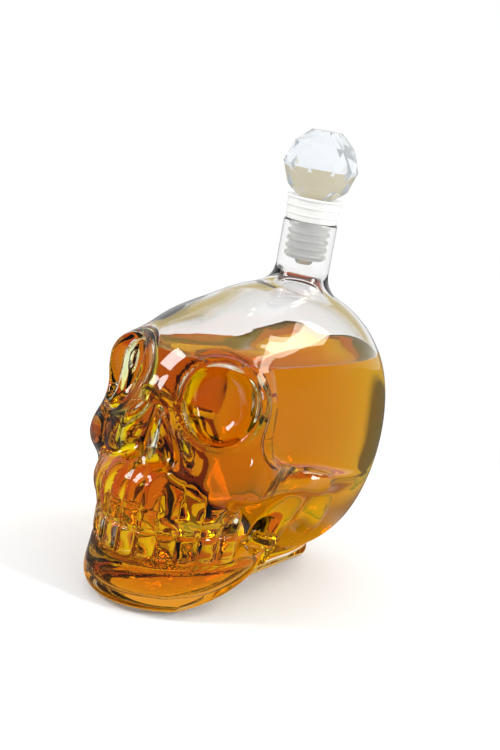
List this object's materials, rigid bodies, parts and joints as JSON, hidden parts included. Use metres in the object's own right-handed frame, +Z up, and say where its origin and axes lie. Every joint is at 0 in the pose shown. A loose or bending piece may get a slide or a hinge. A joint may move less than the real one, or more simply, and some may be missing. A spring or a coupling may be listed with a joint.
{
  "type": "figural liquor decanter",
  "caption": "Skull-shaped clear glass liquor decanter with a straight neck, amber liquor inside, and a faceted glass ball stopper in a ribbed plastic sealing sleeve.",
  "frame": {"origin": "where the neck's axis meets the table, on the flat underside of the glass", "axes": "+Z up along the neck, -Y the way the face looks, +X to the skull's own left"},
  "size_m": [0.1093, 0.1706, 0.2173],
  "materials": {
    "decanter_glass": "clear blown glass, polished",
    "amber_liquor": "clear amber liquid",
    "sleeve_plastic": "translucent soft plastic, moulded ribs",
    "stopper_glass": "cut and polished facets"
  },
  "bodies": {
    "decanter": {"decanter_body": "decanter_glass", "liquor_fill": "amber_liquor"},
    "seal": {"sealing_sleeve": "sleeve_plastic"},
    "stopper": {"stopper_ball": "stopper_glass"}
  },
  "joints": [
    {"name": "stopper_lift", "type": "slide", "parent": "decanter", "child": "seal", "axis": [0, 0, 1], "range_m": [0, 0.06]},
    {"name": "stopper_twist", "type": "hinge", "parent": "seal", "child": "stopper", "pos_m": [0, 0, 0.2], "axis": [0, 0, 1], "continuous": true}
  ]
}
